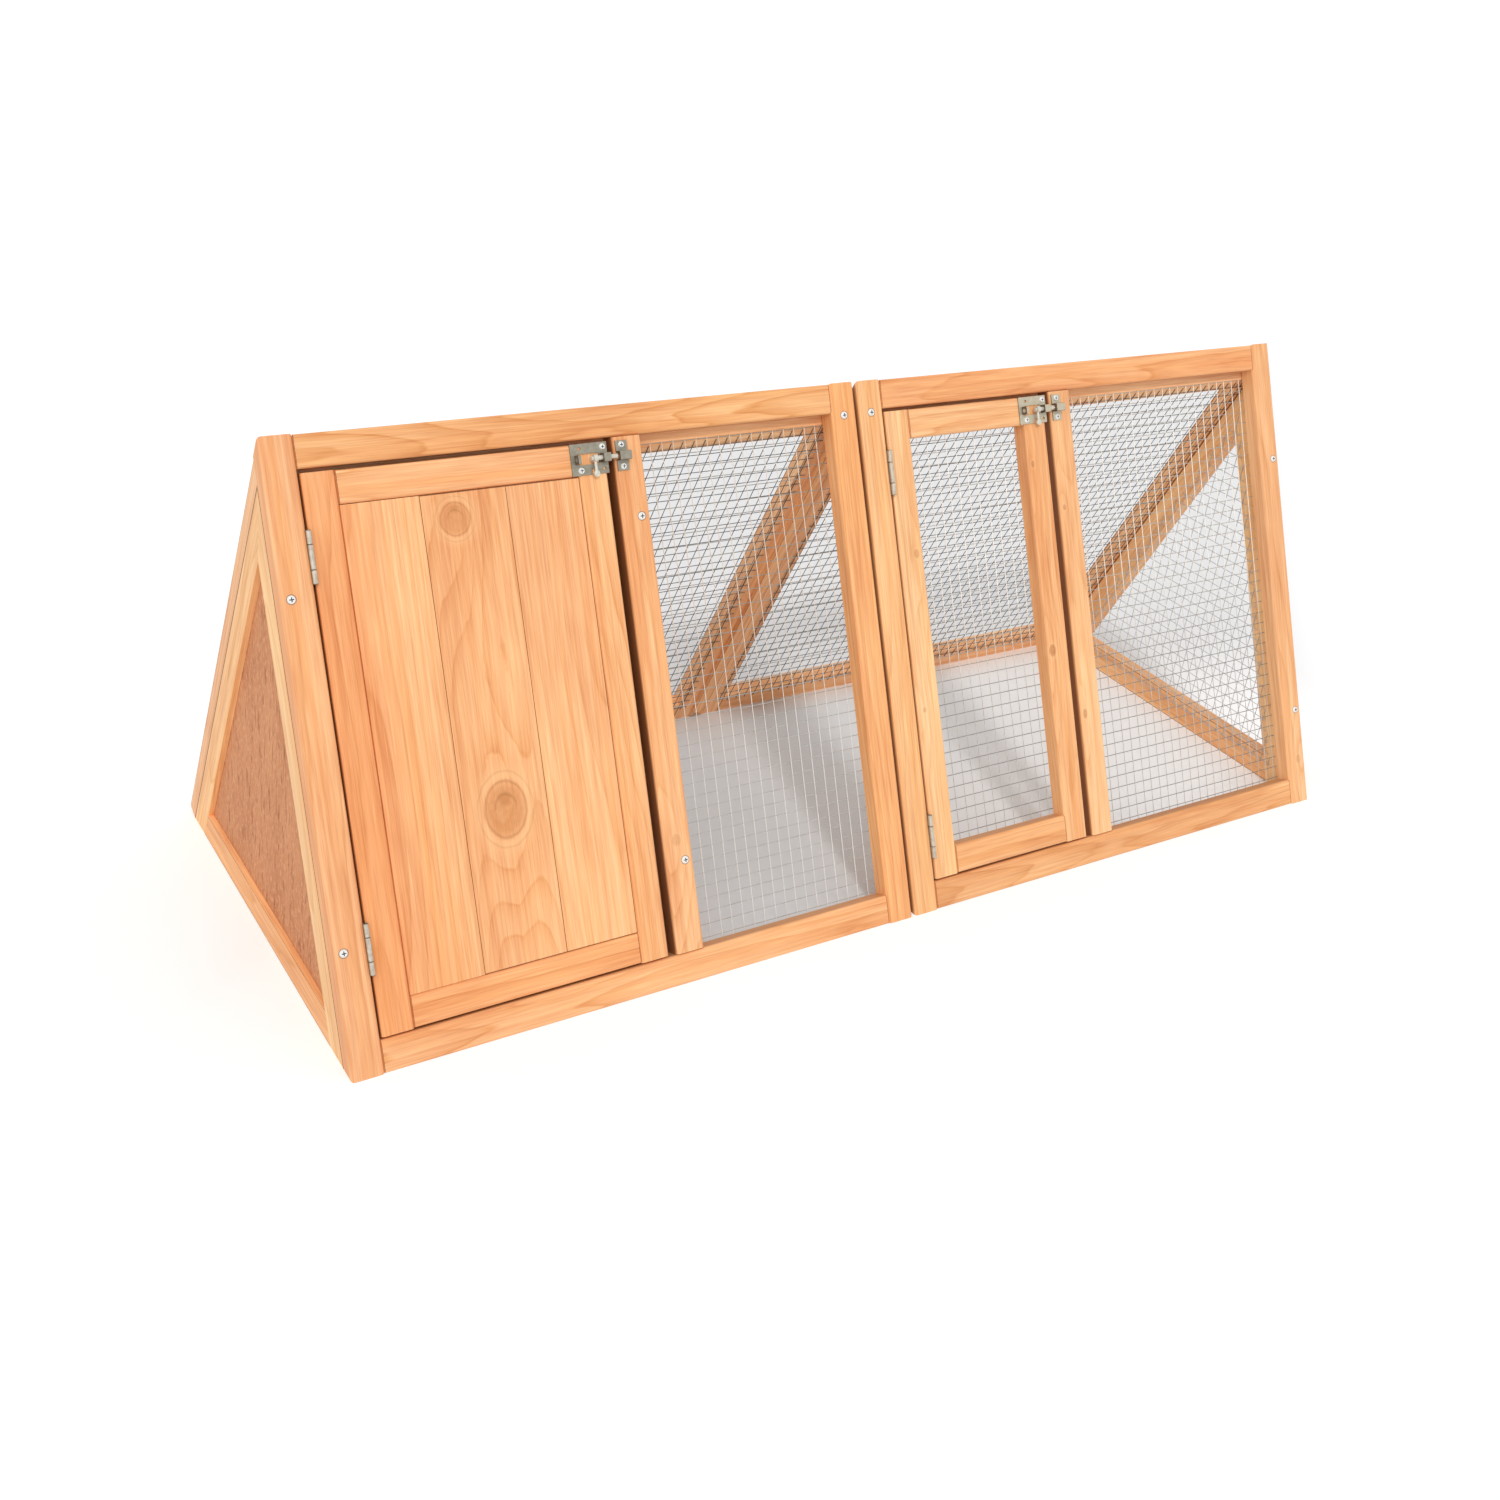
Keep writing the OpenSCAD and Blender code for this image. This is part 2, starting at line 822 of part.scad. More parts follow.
// All screws of the fixed frame, with those of the latch keeps
module frame_screws()
    color(zinc) {
        front_frame() {
            face_screws();
            for (u = ridge_us)
                screw(u, ridge_v, head_r, shank_r, screw_len);
            for (u = [solid_r, mesh_r], s = [-1, 1])
                screw(u + keep_off + keep_l / 2, latch_v + s * keep_screw_v,
                    small_head_r, small_shank_r, small_screw_len, sheet_t);
        }
        back_frame()
            face_screws();
    }

house_front_stile_left();
house_front_stile_mid();
house_front_stile_right();
house_front_rail_top();
house_front_rail_bottom();
house_front_mesh();
run_front_stile_left();
run_front_stile_mid();
run_front_stile_right();
run_front_rail_top();
run_front_rail_bottom();
run_front_mesh();
house_back_stile_left();
house_back_stile_mid();
house_back_stile_right();
house_back_rail_top();
house_back_rail_bottom();
house_back_boards();
house_back_mesh();
run_back_stile_left();
run_back_stile_right();
run_back_rail_top();
run_back_rail_bottom();
run_back_mesh();
house_end_leg_front();
house_end_leg_back();
house_end_rail();
house_end_panel();
divider_leg_front();
divider_leg_back();
divider_panel();
run_end_leg_front();
run_end_leg_back();
run_end_rail();
run_end_mesh();
back_joint_strip();
solid_door_stile_left();
solid_door_stile_right();
solid_door_rail_top();
solid_door_rail_bottom();
solid_door_board_left();
solid_door_board_mid();
solid_door_board_right();
solid_door_hinge_leaves();
solid_door_latch_plate();
solid_door_latch_bolt();
solid_door_latch_handle();
mesh_door_stile_left();
mesh_door_stile_right();
mesh_door_rail_top();
mesh_door_rail_bottom();
mesh_door_mesh();
mesh_door_hinge_leaves();
mesh_door_latch_plate();
mesh_door_latch_bolt();
mesh_door_latch_handle();
frame_hinge_leaves();
latch_keeps();
frame_screws();
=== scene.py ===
import math
import random
from collections import namedtuple

import bmesh
import bpy
import numpy as np
from mathutils import Matrix, Vector


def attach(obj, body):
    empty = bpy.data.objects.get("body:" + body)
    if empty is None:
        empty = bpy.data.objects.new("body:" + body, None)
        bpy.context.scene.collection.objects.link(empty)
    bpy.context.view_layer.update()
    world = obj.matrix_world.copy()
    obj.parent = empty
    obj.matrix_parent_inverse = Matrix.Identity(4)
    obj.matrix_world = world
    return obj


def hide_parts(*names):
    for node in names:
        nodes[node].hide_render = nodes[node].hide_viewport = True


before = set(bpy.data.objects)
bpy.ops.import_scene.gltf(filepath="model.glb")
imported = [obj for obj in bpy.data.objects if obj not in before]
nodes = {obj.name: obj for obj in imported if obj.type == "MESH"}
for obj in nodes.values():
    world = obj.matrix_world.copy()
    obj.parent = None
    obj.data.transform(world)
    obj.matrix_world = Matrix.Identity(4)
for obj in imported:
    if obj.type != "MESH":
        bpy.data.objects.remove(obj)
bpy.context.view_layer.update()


# The front panels of the house and of the run. Softwood strips, planed and
# left bare, with the outer edges rounded over, butted and screwed into two
# frames that stand side by side. The panels lean back at 65 degrees.
def points_of(node):
    """The points of a CAD piece in metres, one to a row."""
    mesh = nodes[node].data
    flat = np.empty(len(mesh.vertices) * 3)
    mesh.vertices.foreach_get("co", flat)
    return flat.reshape(-1, 3)


SLOPE = math.radians(65)
FOOT_TO_RIDGE = 0.2345  # along the floor
LEFT_EDGE, FLOOR_EDGE, _ = points_of("house_front_stile_left").min(axis=0)
MIDDLE = FLOOR_EDGE + FOOT_TO_RIDGE

ALONG = Vector((1, 0, 0))
UP_FRONT = Vector((0, math.cos(SLOPE), math.sin(SLOPE)))
OUT_FRONT = Vector((0, -math.sin(SLOPE), math.cos(SLOPE)))
UP_BACK = Vector((0, -math.cos(SLOPE), math.sin(SLOPE)))
OUT_BACK = Vector((0, math.sin(SLOPE), math.cos(SLOPE)))


def on_front(u, v, out):
    """Point in metres: u from the house end, v up the slope, out of the face."""
    start = Vector((LEFT_EDGE, FLOOR_EDGE, 0))
    return start + ALONG * u + UP_FRONT * v + OUT_FRONT * out


def on_back(u, v, out):
    """The same point on the back panels, which mirror the front ones."""
    p = on_front(u, v, out)
    return Vector((p.x, 2 * MIDDLE - p.y, p.z))


def srgb(r, g, b):
    """A colour of 0 to 255, as it looks on a screen, for a shader."""
    def straight(c):
        c /= 255
        return c / 12.92 if c <= 0.04045 else ((c + 0.055) / 1.055) ** 2.4
    return (straight(r), straight(g), straight(b), 1)


class Wiring:
    """Adds nodes to a tree and joins them, so that a material reads in order."""

    def __init__(self, tree):
        self.tree = tree

    def add(self, kind, **settings):
        node = self.tree.nodes.new(kind)
        for name, value in settings.items():
            setattr(node, name, value)
        return node

    def feed(self, socket, value):
        """Join a socket to another one, or give it a plain value."""
        if isinstance(value, bpy.types.NodeSocket):
            self.tree.links.new(value, socket)
        else:
            socket.default_value = value

    def fill(self, node, values):
        """Feed several inputs of a node by their names."""
        for label, value in values.items():
            self.feed(node.inputs[label], value)

    def place(self, group, values):
        """A shader group in this tree, and its outputs."""
        node = self.add("ShaderNodeGroup", node_tree=group)
        self.fill(node, values)
        return node.outputs

    def spot(self):
        """The place of a surface point in the frame of the hutch."""
        return self.add("ShaderNodeTexCoord").outputs["Object"]

    def calc(self, operation, *values, clamp=False):
        node = self.add("ShaderNodeMath", operation=operation, use_clamp=clamp)
        for socket, value in zip(node.inputs, values):
            self.feed(socket, value)
        return node.outputs[0]

    def chain(self, operation, first, *others):
        for other in others:
            first = self.calc(operation, first, other)
        return first

    def plus(self, *values):
        return self.chain("ADD", *values)

    def times(self, *values):
        return self.chain("MULTIPLY", *values)

    def larger(self, *values):
        return self.chain("MAXIMUM", *values)

    def smaller(self, *values):
        return self.chain("MINIMUM", *values)

    def minus(self, first, second):
        return self.calc("SUBTRACT", first, second)

    def over(self, first, second):
        return self.calc("DIVIDE", first, second)

    def above(self, value, limit):
        return self.calc("GREATER_THAN", value, limit)

    def below(self, value, limit):
        return self.calc("LESS_THAN", value, limit)

    def diagonal(self, first, second):
        return self.calc("SQRT", self.plus(self.times(first, first), self.times(second, second)))

    def swing(self, noise, strength):
        """Noise of 0 to 1, moved to both sides of nothing."""
        return self.times(self.minus(noise, 0.5), strength)

    def vector(self, operation, *values):
        node = self.add("ShaderNodeVectorMath", operation=operation)
        for socket, value in zip(node.inputs, values):
            self.feed(socket, value)
        one_number = operation in ("LENGTH", "DISTANCE", "DOT_PRODUCT")
        return node.outputs["Value" if one_number else "Vector"]

    def split(self, vector):
        node = self.add("ShaderNodeSeparateXYZ")
        self.feed(node.inputs[0], vector)
        return tuple(node.outputs)

    def pack(self, *values):
        node = self.add("ShaderNodeCombineXYZ")
        for socket, value in zip(node.inputs, values):
            self.feed(socket, value)
        return node.outputs[0]

    def mix(self, factor, first, second, blend="MIX"):
        node = self.add("ShaderNodeMix", data_type="RGBA", blend_type=blend)
        self.feed(node.inputs[0], factor)
        self.feed(node.inputs[6], first)
        self.feed(node.inputs[7], second)
        return node.outputs[2]

    def noise(self, vector, scale, detail=2.0, rough=0.5):
        node = self.add("ShaderNodeTexNoise", noise_dimensions="3D")
        self.fill(node, {"Vector": vector, "Scale": scale, "Detail": detail, "Roughness": rough})
        return node.outputs["Fac"]

    def drawn_noise(self, vector, cells, detail=2.0, rough=0.5):
        """Noise with its own number of cells in a metre along each axis."""
        return self.noise(self.vector("MULTIPLY", vector, cells), 1.0, detail, rough)

    def ramp(self, value, *stops):
        node = self.add("ShaderNodeValToRGB")
        band = node.color_ramp
        while len(band.elements) < len(stops):
            band.elements.new(0.5)
        for element, (place, level) in zip(band.elements, stops):
            element.position = place
            element.color = (level, level, level, 1)
        self.feed(node.inputs["Fac"], value)
        return node.outputs["Color"]

    def between(self, share, low, high):
        node = self.add("ShaderNodeMapRange")
        self.fill(node, {"Value": share, "To Min": low, "To Max": high})
        return node.outputs["Result"]

    def bump(self, height, strength=0.22, distance=0.0004):
        node = self.add("ShaderNodeBump")
        self.fill(node, {"Height": height, "Strength": strength, "Distance": distance})
        return node.outputs["Normal"]


def new_group(name, takes, gives):
    """An empty shader group with its sockets, ready to be wired."""
    group = bpy.data.node_groups.new(name, "ShaderNodeTree")
    for label, kind, value in takes:
        socket = group.interface.new_socket(
            label, in_out="INPUT", socket_type="NodeSocket" + kind)
        if value is not None:
            socket.default_value = value
    for label, kind in gives:
        group.interface.new_socket(label, in_out="OUTPUT", socket_type="NodeSocket" + kind)
    wiring = Wiring(group)
    given = wiring.add("NodeGroupInput").outputs
    return group, wiring, given, wiring.add("NodeGroupOutput")


def new_material(name):
    """A material with its wiring and its Principled BSDF."""
    material = bpy.data.materials.new(name)
    material.use_nodes = True
    tree = material.node_tree
    return material, Wiring(tree), tree.nodes["Principled BSDF"]


def dress(node, *materials):
    """Give a CAD piece its materials, with the first one on every face."""
    mesh = nodes[node].data
    mesh.materials.clear()
    for material in materials:
        mesh.materials.append(material)
    for face in mesh.polygons:
        face.material_index = 0


def make_fir_grain():
    """Growth rings about a pith beside the strip, with streaks and fibres."""
    group, w, given, out = new_group(
        "fir grain",
        [("Vector", "Vector", None),
         ("Seed", "Float", 0.0),
         ("Pith Side", "Float", 0.03),
         ("Pith Depth", "Float", -0.06),
         ("Pith Tilt", "Float", 0.0),
         ("Ring Width", "Float", 0.0045),
         ("Bend", "Float", 0.0),
         ("Tint", "Color", srgb(250, 190, 134)),
         ("Ring Strength", "Float", 0.5),
         ("Streak Strength", "Float", 0.5),
         ("Sway", "Float", 0.05)],
        [("Color", "Color"), ("Height", "Float")])
    # The tint, with a share of its red, green and blue for each.
    early_wood, late_wood, streak = (
        w.mix(1.0, given["Tint"], (*share, 1), "MULTIPLY")
        for share in ((0.965, 0.95, 0.98), (0.80, 0.62, 0.46), (0.92, 0.72, 0.55)))
    shift = w.pack(*(w.times(given["Seed"], share) for share in (1.37, 2.11, 0.73)))
    place = w.vector("ADD", given["Vector"], shift)

    across, along, depth = w.split(given["Vector"])
    side = w.minus(across, given["Pith Side"])
    depth = w.plus(w.minus(depth, given["Pith Depth"]), w.times(along, given["Pith Tilt"]))
    slow = w.drawn_noise(place, (9.0, 1.6, 9.0), detail=1.0)
    quick = w.drawn_noise(place, (60.0, 7.0, 60.0))
    reach = w.plus(w.diagonal(side, depth), w.swing(slow, given["Sway"]),
                   w.swing(quick, w.times(given["Sway"], 0.08)))
    turns = w.plus(w.over(reach, given["Ring Width"]), given["Bend"])
    ring = w.ramp(w.calc("FRACT", turns),
                  (0.0, 0.0), (0.50, 0.12), (0.84, 0.55), (0.93, 1.0), (1.0, 0.0))
    year = w.drawn_noise(place, (50.0, 2.2, 50.0))
    dark_years = w.times(given["Ring Strength"], w.times(year, 1.9))
    late = w.calc("MULTIPLY", ring, dark_years, clamp=True)

    broad = w.drawn_noise(place, (75.0, 1.7, 75.0), detail=3.0, rough=0.6)
    narrow = w.drawn_noise(place, (330.0, 7.0, 330.0), detail=3.0, rough=0.6)
    fibre = w.drawn_noise(place, (1100.0, 26.0, 1100.0))
    cloud = w.drawn_noise(place, (15.0, 3.2, 15.0), detail=3.0, rough=0.6)
    streaked = w.times(w.ramp(broad, (0.38, 0.0), (0.70, 1.0)), given["Streak Strength"])
    colour = w.mix(late, w.mix(streaked, early_wood, streak), late_wood)
    level = w.plus(1.0, w.swing(narrow, 0.80), w.swing(fibre, 0.65), w.swing(cloud, 0.85))
    # Darker wood is browner, since blue and green fall faster than red.
    red_green_blue = (w.calc("POWER", level, share) for share in (0.50, 1.0, 1.25))
    w.fill(out, {"Color": w.mix(1.0, colour, w.pack(*red_green_blue), "MULTIPLY"),
                 "Height": w.plus(w.times(narrow, 0.6), w.times(ring, 0.4))})
    return group


def make_knot():
    """A branch that the saw cut across: rings bent round a browner oval core."""
    group, w, given, out = new_group(
        "knot",
        [("Vector", "Vector", None),
         ("Centre", "Vector", None),
         ("Radius", "Float", 0.012),
         ("Oval", "Float", 0.85),
         ("Reach", "Float", 0.05),
         ("Turns", "Float", 6.0)],
        [("Bend", "Float"), ("Core", "Float"), ("Lines", "Float"), ("Halo", "Float")])
    away = w.vector("SUBTRACT", given["Vector"], given["Centre"])
    wobble = w.swing(w.noise(away, scale=90.0), 0.002)
    across, along, _ = w.split(away)

    # The bend fades slowly along the grain and quickly across it.
    below_core = w.times(w.larger(w.times(along, -1.0), 0.0), 0.22)
    above_core = w.times(w.larger(along, 0.0), 0.38)
    aside = w.calc("ABSOLUTE", across)
    spread = w.plus(w.diagonal(aside, w.plus(below_core, above_core)), w.times(aside, 0.3))
    share = w.over(w.plus(spread, wobble), given["Reach"])
    bell = w.calc("EXPONENT", w.times(share, share, -1.0))

    # The core is mottled, with a darker patch in its upper half.
    oval = w.vector("MULTIPLY", away, w.pack(1.0, given["Oval"], 0.3))
    near = w.over(w.plus(w.vector("LENGTH", oval), wobble), given["Radius"])
    to_patch = w.vector("DISTANCE", away, (0.0, 0.010, 0.0))
    patch = w.ramp(w.over(w.plus(to_patch, wobble), given["Radius"]), (0.18, 0.55), (0.40, 0.0))
    mottle = w.plus(0.35, w.times(w.noise(away, scale=190.0, detail=3.0), 0.8), patch)
    core = w.times(w.ramp(near, (0.70, 1.0), (1.0, 0.0)), mottle)

    # One thin line lies in the upper half, and two run all the way round.
    upper_half = w.ramp(w.plus(w.times(along, 40.0), 0.5), (0.45, 0.0), (0.70, 1.0))
    inner = w.ramp(near, (0.0, 0.0), (0.42, 0.0), (0.50, 0.8), (0.58, 0.0))
    wide = w.times(near, 0.5)
    outer = w.ramp(wide, (0.42, 0.0), (0.465, 0.9), (0.51, 0.0),
                   (0.60, 0.0), (0.63, 0.45), (0.66, 0.0))
    w.fill(out, {"Bend": w.times(bell, given["Turns"]),
                 "Core": core,
                 "Lines": w.larger(w.times(inner, upper_half), outer),
                 "Halo": w.ramp(wide, (0.46, 0.0), (0.56, 1.0), (0.85, 0.0))})
    return group


def make_butt_line_and_side_shade():
    """The dark line where a piece meets its neighbour, and a painted shade on its sides."""
    group, w, given, out = new_group(
        "butt line",
        [("Vector", "Vector", None),
         ("Half Size", "Vector", (1, 1, 1)),
         ("Line", "Vector", (0.0006, 0.0006, 0)),
         ("Toward", "Float", 0.0)],
        [("Mask", "Float"), ("Side", "Float")])
    off_edge, at_side = 0.00004, 0.0003
    size = w.vector("ABSOLUTE", given["Vector"])
    with_line = w.vector("ADD", size, given["Line"])
    side_line, end_line, _ = w.split(w.vector("SUBTRACT", with_line, given["Half Size"]))
    side, end, _ = w.split(w.vector("SUBTRACT", size, given["Half Size"]))
    _, _, depth = w.split(w.vector("SUBTRACT", given["Half Size"], given["Vector"]))
    across, _, _ = w.split(given["Vector"])
    # Toward is 1 or -1 for one side, and 0 lets both through.
    chosen = w.above(w.times(across, given["Toward"]), -0.000001)
    in_line = w.larger(w.times(w.above(side_line, 0.0), chosen), w.above(end_line, 0.0))
    on_face = w.times(w.below(side, -off_edge), w.below(end, -off_edge))
    # A painted shade darkens the sides. It grows from 1 to 5 mm below the face.
    deep = w.ramp(w.times(depth, 50.0), (0.05, 0.0), (0.25, 1.0))
    on_side = w.times(w.above(side, -at_side), chosen)
    w.fill(out, {"Mask": w.times(in_line, on_face), "Side": w.times(deep, on_side)})
    return group


def make_screw_shadow():
    """A dark ring round a screw head, a painted shadow where the head is pressed into the wood.
    """
    group, w, given, out = new_group(
        "screw_shadow", [("Vector", "Vector", None), ("Centre", "Vector", None)], [("Mask", "Float")])
    centimetres = w.times(w.vector("DISTANCE", given["Vector"], given["Centre"]), 100.0)
    w.fill(out, {"Mask": w.ramp(centimetres, (0.42, 1.0), (0.47, 0.0))})
    return group


FIR_GRAIN = make_fir_grain()
KNOT_FIGURE = make_knot()
BUTT_LINE_AND_SIDE_SHADE = make_butt_line_and_side_shade()
SCREW_SHADOW = make_screw_shadow()
LARGE_RADIUS = 0.010
LARGE_KNOT, SMALL_KNOT = srgb(206, 138, 84), srgb(182, 118, 68)
KNOT_LINE, HALO = srgb(158, 98, 56), srgb(255, 208, 152)
# The grey for screw heads is a painted shadow round each head.
# The side brown is painted shade for the deep sides of gaps.
CRACK_BROWN, SIDE_SHADE_BROWN, SCREW_SHADOW_GREY = srgb(122, 64, 20), srgb(140, 80, 42), srgb(96, 84, 78)
CRACK_COVER, SCREW_SHADOW_COVER = 0.88, 0.75

# Where a knot lies from the middle of its piece, its radius, how round it is,
# how far off it bends the rings, by how many of them, and how strong it shows.
Knot = namedtuple("Knot", "x y radius oval reach turns strength")


def measure(node, along, across):
    """Middle and half sizes of a CAD piece in its own directions."""
    axes = (across, along, across.cross(along))
    spans = [points_of(node) @ np.array(axis) for axis in axes]
    middle = [(span.min() + span.max()) / 2 for span in spans]
    return middle, [(span.max() - span.min()) / 2 for span in spans]


def fir(node, along, across, seed, tint, ends=False, sides=False, pith=(0.03, -0.06), tilt=0.0,
        ring=0.0045, rings=0.65, streaks=0.8, sway=0.05, knots=(), line=0.0006, side_shade=0.0,
        toward=0, screws=(), fade=None):
    """Bare softwood for one CAD piece, with the grain along the piece.

    The ends or the sides get a dark line where they meet a neighbour, and a share of painted
    shade darkens the sides, as in a gap. Of the sides, toward picks one, or both at 0.
    """
    material, w, skin = new_material("fir_" + node)
    middle, half = measure(node, along, across)
    spot = w.spot()
    turn = w.add("ShaderNodeMapping", vector_type="POINT")
    own_axes = Matrix((across, along, across.cross(along)))
    w.fill(turn, {"Vector": spot,
                  "Rotation": own_axes.to_euler("XYZ"),
                  "Location": [-m for m in middle]})
    here = turn.outputs["Vector"]

    bend = 0.0
    figures = []
    for knot in knots:
        figure = w.place(KNOT_FIGURE, {
            "Vector": here, "Centre": (knot.x, knot.y, half[2]), "Radius": knot.radius,
            "Oval": knot.oval, "Reach": knot.reach, "Turns": knot.turns})
        bend = w.plus(bend, figure["Bend"])
        figures.append(figure)
    base = srgb(*tint)
    if fade:
        across_face, _, _ = w.split(here)
        share = w.ramp(w.plus(w.over(across_face, 2 * half[0]), 0.5), (0.0, 1.0), (0.6, 0.0))
        base = w.mix(share, base, srgb(*fade))
    grain = w.place(FIR_GRAIN, {
        "Vector": here, "Seed": seed, "Pith Side": pith[0], "Pith Depth": pith[1],
        "Pith Tilt": tilt, "Ring Width": ring, "Bend": bend, "Tint": base,
        "Ring Strength": rings, "Streak Strength": streaks, "Sway": sway})

    colour = grain["Color"]
    for knot, figure in zip(knots, figures):
        core_brown = LARGE_KNOT if knot.radius > LARGE_RADIUS else SMALL_KNOT
        for mask, share, paint in (("Halo", 0.30, HALO), ("Core", 0.78, core_brown),
                                   ("Lines", 0.45, KNOT_LINE)):
            cover = w.calc("MULTIPLY", figure[mask], share * knot.strength, clamp=True)
            colour = w.mix(cover, colour, paint)
    if ends or sides or side_shade:
        butt = w.place(BUTT_LINE_AND_SIDE_SHADE, {
            "Vector": here, "Half Size": half, "Toward": toward,
            "Line": (line if sides else -1, line if ends else -1, 0)})
        # Painted shade on the sides, as in the gap beside a door.
        colour = w.mix(w.times(butt["Side"], side_shade), colour, SIDE_SHADE_BROWN)
        colour = w.mix(w.times(butt["Mask"], CRACK_COVER), colour, CRACK_BROWN)
    # A painted shadow ring round each screw head.
    for u, v in screws:
        screw_shadow = w.place(SCREW_SHADOW, {"Vector": spot, "Centre": on_front(u, v, 0)})
        colour = w.mix(w.times(screw_shadow["Mask"], SCREW_SHADOW_COVER), colour, SCREW_SHADOW_GREY)
    w.fill(skin, {"Base Color": colour,
                  "Roughness": w.between(grain["Height"], 0.48, 0.66),
                  "Specular IOR Level": 0.35,
                  "Normal": w.bump(grain["Height"])})
    dress(node, material)


OUTER_SCREWS = (0.113, 0.4179)
INNER_SCREW = 0.5223
STILE_KNOT = Knot(0.004, -0.225, 0.004, 0.7, 0.02, 2.0, 0.5)
for number, (name, tint, side_shade, toward, screws, knots) in enumerate((
        ("house_front_stile_left", (248, 189, 136), 0.7, 1,
         [(0.009, v) for v in OUTER_SCREWS], ()),
        ("house_front_stile_right", (250, 188, 127), 0.7, 1, [(0.593, INNER_SCREW)], ()),
        ("run_front_stile_left", (247, 193, 136), 0.7, 0, [(0.627, INNER_SCREW)], ()),
        ("run_front_stile_right", (244, 188, 135), 0.0, 1,
         [(1.211, v) for v in OUTER_SCREWS], (STILE_KNOT,)))):
    fir(name, UP_FRONT, ALONG, 1.7 + number * 3.1, tint, pith=(-0.02, -0.05), ring=0.006,
        side_shade=side_shade, toward=toward, screws=screws, knots=knots)
fir("house_front_stile_mid", UP_FRONT, ALONG, 23.7, (250, 192, 137), ends=True,
    pith=(0.012, -0.09), side_shade=0.9, toward=-1, screws=((0.3495, 0.119), (0.3495, 0.4489)),
    knots=(Knot(-0.001, -0.138, 0.005, 0.8, 0.02, 2.0, 0.4),))
fir("run_front_stile_mid", UP_FRONT, ALONG, 26.0, (251, 199, 145), ends=True,
    pith=(0.012, -0.09), side_shade=0.9, toward=-1,
    knots=(Knot(-0.009, 0.120, 0.0025, 0.7, 0.012, 1.0, 0.8),
           Knot(-0.009, -0.110, 0.003, 0.5, 0.012, 1.0, 0.9)))

RAIL = {"ends": True, "pith": (0.006, -0.030), "ring": 0.0036}
fir("house_front_rail_top", ALONG, -UP_FRONT, 31.3, (243, 183, 124), **RAIL,
    rings=1.0, side_shade=0.5, toward=1)
fir("house_front_rail_bottom", ALONG, -UP_FRONT, 36.0, (248, 187, 132), **RAIL,
    rings=0.9, side_shade=0.4, toward=-1,
    knots=(Knot(-0.200, 0.005, 0.003, 0.6, 0.012, 1.0, 0.8),
           Knot(0.120, -0.014, 0.004, 0.9, 0.02, 2.0, 0.6)))
fir("run_front_rail_top", ALONG, -UP_FRONT, 40.7, (246, 182, 126), **RAIL,
    rings=0.9, side_shade=0.5, toward=1)
fir("run_front_rail_bottom", ALONG, -UP_FRONT, 45.4, (239, 181, 126), **RAIL,
    rings=1.0, side_shade=0.4, toward=-1,
    knots=(Knot(-0.187, 0.006, 0.006, 0.6, 0.02, 2.0, 0.5),))


# The back panels of the house and of the run. The same strips as in front,
# with square feet and with tops that butt against the front panels. Tongued
# boards close the house part, and a cover strip hides the joint inside.
for number, name in enumerate((
        "house_back_stile_left", "house_back_stile_right",
        "run_back_stile_left", "run_back_stile_right")):
    fir(name, UP_BACK, ALONG, 51.1 + number * 3.7, (251, 200, 150), sides=True, line=0.0008,
        pith=(-0.02, -0.05))
fir("house_back_stile_mid", UP_BACK, ALONG, 64.9, (250, 192, 137), ends=True,
    pith=(0.012, -0.09))
for number, name in enumerate((
        "house_back_rail_top", "house_back_rail_bottom",
        "run_back_rail_top", "run_back_rail_bottom")):
    fir(name, ALONG, -UP_BACK, 71.3 + number * 5.3, (250, 198, 148), **RAIL, rings=0.6)
fir("house_back_boards", UP_BACK, ALONG, 93.7, (250, 190, 134), ends=True,
    pith=(0.02, -0.08), ring=0.007)
fir("back_joint_strip", UP_BACK, ALONG, 97.9, (252, 200, 146), sides=True, ring=0.003)


# The two ends and the divider. Triangles of the same strip stand inside the
# panels. Thin reddish plywood sits in grooves in the house end and in the
# divider, which has an arched doorway.
# The legs are tinted paler than the front strips: painted light that makes up for their side
# faces getting less of the lamps.
for number, name in enumerate(("house_end_leg_front", "divider_leg_front", "run_end_leg_front")):
    fir(name, UP_FRONT, -OUT_FRONT, 101.3 + number * 3.3, (255, 208, 150), sides=True,
        line=0.0018, toward=-1, pith=(0.01, -0.05))
for number, (name, gap) in enumerate((
        ("house_end_leg_back", 0.0018), ("divider_leg_back", 0.0010),
        ("run_end_leg_back", 0.0022))):
    fir(name, UP_BACK, -OUT_BACK, 113.9 + number * 2.9, (255, 206, 148), sides=True,
        line=gap, toward=-1, pith=(0.01, -0.05))
for number, name in enumerate(("house_end_rail", "run_end_rail")):
    fir(name, Vector((0, 1, 0)), Vector((0, 0, 1)), 127.3 + number * 4.1, (255, 200, 142),
        sides=True, line=0.0008, pith=(0.006, -0.04))

plywood, w, skin = new_material("plywood")
spot = w.spot()
pores = w.drawn_noise(spot, (520.0, 520.0, 130.0), detail=3.0, rough=0.7)
flecks = w.drawn_noise(spot, (190.0, 190.0, 34.0), detail=3.0, rough=0.65)
figure = w.drawn_noise(spot, (26.0, 26.0, 7.0))
dark_flecks = w.times(w.ramp(flecks, (0.54, 0.0), (0.68, 1.0)), 0.75)
pale_pores = w.times(w.ramp(pores, (0.50, 0.0), (0.62, 1.0)), 0.5)
veneer = w.mix(figure, srgb(188, 118, 78), srgb(224, 160, 114))
veneer = w.mix(dark_flecks, veneer, srgb(150, 84, 56))
veneer = w.mix(pale_pores, veneer, srgb(244, 190, 146))
w.fill(skin, {"Base Color": veneer, "Roughness": 0.78, "Specular IOR Level": 0.25,
              "Normal": w.bump(pores)})
for name in ("house_end_panel", "divider_panel"):
    dress(name, plywood)


